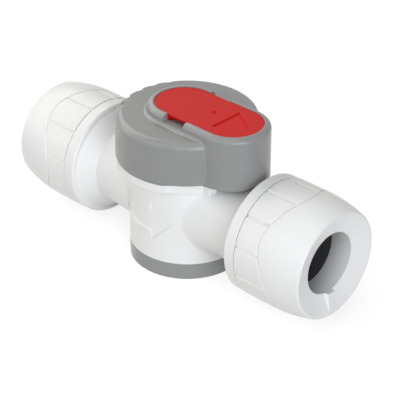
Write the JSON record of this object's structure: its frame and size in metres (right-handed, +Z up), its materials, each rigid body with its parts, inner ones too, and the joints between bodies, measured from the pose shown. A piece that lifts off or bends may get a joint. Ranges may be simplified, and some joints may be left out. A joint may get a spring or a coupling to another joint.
{
  "type": "isolating valve",
  "caption": "Quarter-turn plastic isolating valve with a lever handle, a clip-in colour insert and a hand-screwed cap on each pipe socket.",
  "frame": {"origin": "centre of the base cap's underside, below the crossing of the pipe axis and the stem axis", "axes": "+X along the pipe, the way the open lever points, +Z up the stem"},
  "size_m": [0.0936, 0.0346, 0.041],
  "materials": {
    "white_plastic": "smooth moulded white",
    "grey_plastic": "fine textured mid grey",
    "red_plastic": "smooth moulded red",
    "pale_plastic": "natural moulded plastic",
    "black_plastic": "moulded black",
    "steel": "stainless, as stamped",
    "black_rubber": "black rubber"
  },
  "bodies": {
    "valve": {"valve_body": "white_plastic", "base_cap": "grey_plastic", "base_seal": "black_rubber", "port_seal_left": "black_rubber", "port_seal_right": "black_rubber", "spacer_ring_left": "pale_plastic", "spacer_ring_right": "pale_plastic", "pipe_seal_left": "black_rubber", "pipe_seal_right": "black_rubber"},
    "lever": {"handle": "grey_plastic", "colour_insert": "red_plastic", "handle_screw": "steel", "screw_washer": "steel", "flow_rotor": "pale_plastic", "stem_seal_lower": "black_rubber", "stem_seal_upper": "black_rubber"},
    "grab_right": {"grab_wedge_right": "black_plastic", "grab_ring_right": "steel"},
    "cap_right": {"end_cap_right": "white_plastic"},
    "grab_left": {"grab_wedge_left": "black_plastic", "grab_ring_left": "steel"},
    "cap_left": {"end_cap_left": "white_plastic"}
  },
  "joints": [
    {"name": "handle_turn", "type": "hinge", "parent": "valve", "child": "lever", "pos_m": [0, 0, 0.0159], "axis": [0, 0, 1], "range_deg": [-90, 0]},
    {"name": "grab_slide_right", "type": "slide", "parent": "valve", "child": "grab_right", "axis": [1, 0, 0], "range_m": [0, 0.0051]},
    {"name": "cap_turn_right", "type": "hinge", "parent": "grab_right", "child": "cap_right", "pos_m": [0.0375, 0, 0.0159], "axis": [1, 0, 0], "range_deg": [0, 720]},
    {"name": "grab_slide_left", "type": "slide", "parent": "valve", "child": "grab_left", "axis": [-1, 0, 0], "range_m": [0, 0.0051]},
    {"name": "cap_turn_left", "type": "hinge", "parent": "grab_left", "child": "cap_left", "pos_m": [-0.0375, 0, 0.0159], "axis": [-1, 0, 0], "range_deg": [0, 720]}
  ],
  "couplings": [
    {"joint": "grab_slide_right", "follows": "cap_turn_right", "m_per_rad": 0.00039789},
    {"joint": "grab_slide_left", "follows": "cap_turn_left", "m_per_rad": 0.00039789}
  ]
}
